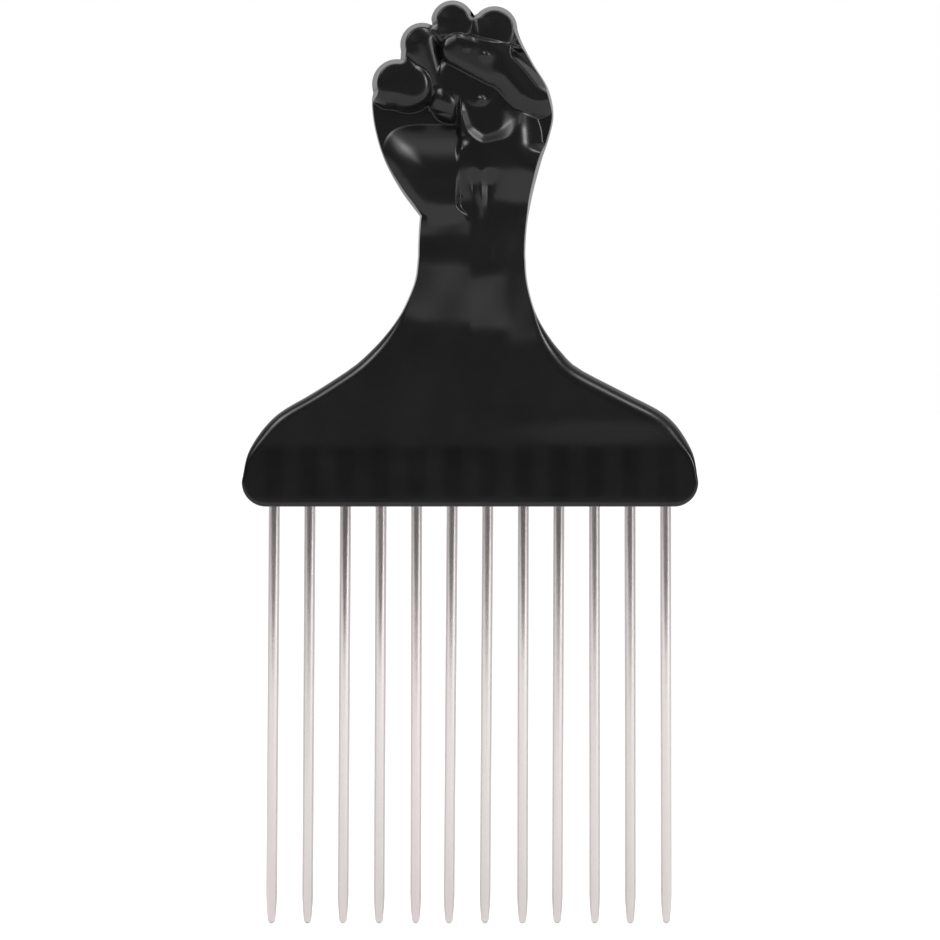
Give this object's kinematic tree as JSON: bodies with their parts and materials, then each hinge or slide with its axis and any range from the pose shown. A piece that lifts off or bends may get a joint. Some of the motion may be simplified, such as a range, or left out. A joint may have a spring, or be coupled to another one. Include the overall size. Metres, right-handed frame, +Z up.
{
  "type": "afro pick",
  "caption": "Hair pick with a row of long round metal tines set in a black moulded handle shaped as a raised fist.",
  "frame": {"origin": "middle of the neck's waist, where the comb is held, on the moulding's parting plane and on the middle of the tine row", "axes": "+Z up the handle to the knuckles, with the tines pointing to -Z; +X to the thumb's side along the tine row; +Y out of the back of the hand, so the palm side faces -Y"},
  "size_m": [0.0812, 0.0126, 0.1649],
  "materials": {
    "moulding": "high gloss black",
    "tine_metal": "bright nickel plate"
  },
  "bodies": {
    "root": {"handle": "moulding", "tine_01": "tine_metal", "tine_02": "tine_metal", "tine_03": "tine_metal", "tine_04": "tine_metal", "tine_05": "tine_metal", "tine_06": "tine_metal", "tine_07": "tine_metal", "tine_08": "tine_metal", "tine_09": "tine_metal", "tine_10": "tine_metal", "tine_11": "tine_metal", "tine_12": "tine_metal"}
  },
  "joints": []
}
